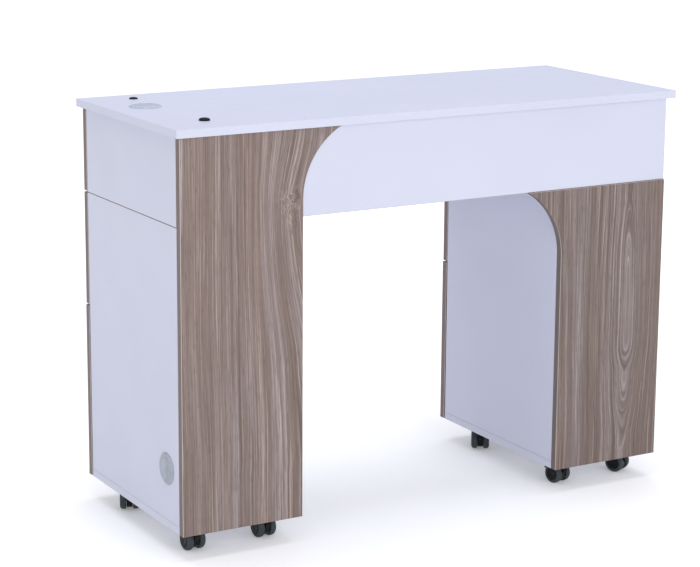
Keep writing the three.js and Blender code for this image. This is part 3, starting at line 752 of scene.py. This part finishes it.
def make_caster(name):
    swivel = joint_named(f"{name}_swivel")
    roll = joint_named(f"{name}_roll")
    axle = Vector(roll["axis"]).normalized()
    hub = Vector(roll["pos_m"])
    pivot = Vector(swivel["pos_m"])
    radius = hub.z
    inside, outside = 6.7 * MM, 19 * MM
    tyres, hubs = [], []
    for way in (1, -1):
        matrix = along(axle * way, hub)
        tyres.append(turned(wheel_profile(inside, outside, radius), 64, matrix))
        hubs.append(turned(hub_profile(inside, outside, radius), 48, matrix))
    hubs.append(turned([(0, -inside), (3 * MM, -inside), (3 * MM, inside), (0, inside)], 24, along(axle, hub)))
    wheels = f"{name}_wheels"
    tread = new_piece(f"{wheels}_tread", mesh_from("tread", join(tyres)), TYRE, wheels, 30)
    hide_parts(wheels)
    new_piece(f"{wheels}_hubs", mesh_from("hubs", join(hubs)), CASTER, wheels, 40)

    # The fork is drawn with its axle along X at the origin and its swivel axis at +trail along Y.
    trail = (Vector((pivot.x, pivot.y)) - Vector((hub.x, hub.y))).length
    turn = Matrix.Rotation(math.atan2(axle.y, axle.x), 4, "Z")
    stand = Matrix.Translation(hub) @ turn

    def arc(distance, start, end, steps=24):
        angles = [math.radians(start + (end - start) * i / steps) for i in range(steps + 1)]
        return [Vector((distance * math.cos(a), distance * math.sin(a))) for a in angles]

    web = 5.9 * MM
    outline = arc(radius * 0.84, 172, 378, 28) + arc(radius + 1.9 * MM, 24, 168, 28)
    plate = bmesh.new()
    skin(plate, [[Vector((x, p.x, p.y)) for p in outline] for x in (-web, web)])
    bmesh.ops.bevel(plate, geom=[e for e in plate.edges if abs(e.verts[0].co.x - e.verts[1].co.x) < 1e-6],
                    offset=0.7 * MM, segments=2, affect="EDGES", profile=0.5)
    hood = bmesh.new()
    half, inner, thick = 17.9 * MM, radius + 1.0 * MM, 2.0 * MM
    corners = [(-half, inner), (half, inner), (half, inner + thick), (-half, inner + thick)]
    section = rounded(corners, 0.9 * MM, 4)
    angles = [math.radians(22 + 89 * i / 24) for i in range(25)]
    rings = []
    for a in angles:
        rings.append([Vector((p.x, p.y * math.cos(a), p.y * math.sin(a))) for p in section])
    skin(hood, rings)
    neck = bmesh.new()
    top = pivot.z - hub.z
    rings = []
    for share in (0.0, 0.25, 0.5, 0.75, 1.0):
        width = (5.6 + 2.2 * share ** 2) * MM
        depth = (9.5 - 1.2 * share) * MM
        middle = trail * (0.35 + 0.65 * share)
        height = (0.40 + 0.55 * share) * top
        corners = [(-width, middle - depth), (width, middle - depth), (width, middle + depth), (-width, middle + depth)]
        rings.append([Vector((p.x, p.y, height)) for p in rounded(corners, 2.5 * MM, 4)])
    skin(neck, rings)
    boss_low = top - 6.4 * MM
    boss_profile = [
        (0, boss_low), (8.2 * MM, boss_low), (9 * MM, boss_low + 0.8 * MM), (9 * MM, top - 2.4 * MM),
        (8.4 * MM, top - 2.0 * MM), (8.4 * MM, top - 1.6 * MM), (9 * MM, top - 1.2 * MM), (9 * MM, top - 0.4 * MM),
        (8.7 * MM, top - 0.1 * MM), (0, top - 0.1 * MM),
    ]
    boss = turned(boss_profile, 40, Matrix.Translation((0, trail, 0)))
    mesh = mesh_from("fork", join([plate, hood, neck, boss]), stand)
    fork = new_piece(f"{name}_fork_body", mesh, CASTER, f"{name}_fork", 40)
    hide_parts(f"{name}_fork")

    # The fixed plate under the bottom board, with four screws.
    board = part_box("left_bottom_board")[0].z
    square = 19 * MM
    corners = [(-square, -square), (square, -square), (square, square), (-square, square)]
    low, high = board - 2.4 * MM, board - 0.15 * MM
    base = bmesh.new()
    skin(base, [[Vector((pivot.x + p.x, pivot.y + p.y, z)) for p in rounded(corners, 4 * MM, 5)] for z in (low, high)])
    new_piece(f"{name}_plate", mesh_from("plate", base), STEEL, "carcass", 35)
    screws = []
    for sx in (-1, 1):
        for sy in (-1, 1):
            spot = Vector((pivot.x + sx * 14 * MM, pivot.y + sy * 14 * MM, low))
            screws.append(screw_bm(spot, (0, 0, -1), 3.0 * MM, 1.4 * MM))
    new_piece(f"{name}_screws", mesh_from("screws", join(screws)), ZINC, "carcass", 30)


# ---- Stage --------------------------------------------------------------------------------------------------

FLOOR_GLOW = (0.18, 0.42)  # near the table and far from it, which keeps the floor white
FLOOR_NEAR, FLOOR_FAR = 1.0, 3.0


def make_stage():
    bm = bmesh.new()
    bmesh.ops.create_grid(bm, x_segments=2, y_segments=2, size=40)
    floor = bpy.data.objects.new("studio_floor", mesh_from("studio_floor", bm))
    bpy.context.scene.collection.objects.link(floor)
    s = Shader("studio_floor_paint", 0.9, specular=0.0)
    s.set("Base Color", s.mix(s.noise(s.place(), 2.0, 2.0), (0.92, 0.92, 0.92, 1), (0.94, 0.94, 0.94, 1)))
    s.surface.inputs["Emission Color"].default_value = (1, 1, 1, 1)
    x, y, z = s.axes(s.place())
    distance = s.math("SQRT", s.math("ADD", s.math("MULTIPLY", x, x), s.math("MULTIPLY", y, y)))
    s.set("Emission Strength", s.ramp(distance, FLOOR_NEAR, FLOOR_FAR, *FLOOR_GLOW))
    floor.data.materials.append(s.material)


def area_light(name, place, target, size, power, colour=(1, 1, 1)):
    data = bpy.data.lights.new(name, "AREA")
    data.shape = "RECTANGLE"
    data.size, data.size_y = size
    data.energy = power
    data.color = colour
    lamp = bpy.data.objects.new(name, data)
    lamp.location = place
    lamp.rotation_euler = (Vector(target) - Vector(place)).to_track_quat("-Z", "Y").to_euler()
    bpy.context.scene.collection.objects.link(lamp)


def make_lights():
    world = bpy.data.worlds.new("studio")
    world.use_nodes = True
    world.node_tree.nodes["Background"].inputs[0].default_value = (1, 1, 1, 1)
    world.node_tree.nodes["Background"].inputs[1].default_value = 0.68
    bpy.context.scene.world = world
    area_light("key", (0.2, -4.2, 1.6), (0, 0, 0.45), (3.5, 2.5), 57)
    area_light("fill", (-3.2, -3.0, 1.0), (0, 0, 0.45), (2.5, 2.0), 15)
    area_light("top", (0.0, 0.3, 4.0), (0, 0, 0.45), (4.0, 3.0), 94, (0.80, 0.84, 1.0))
    view = bpy.context.scene.view_settings
    view.view_transform = "Standard"
    view.look = "None"
    view.exposure = 0.0
    view.gamma = 1.0


# ---- Assembly ---------------------------------------------------------------------------------------------

make_camera()
finish_white_boards()
finish_wood_boards()
make_grommets()
make_bushings()
make_handles()
make_drawers()
make_hinges()
for caster in caster_names():
    make_caster(caster)
make_stage()
make_lights()
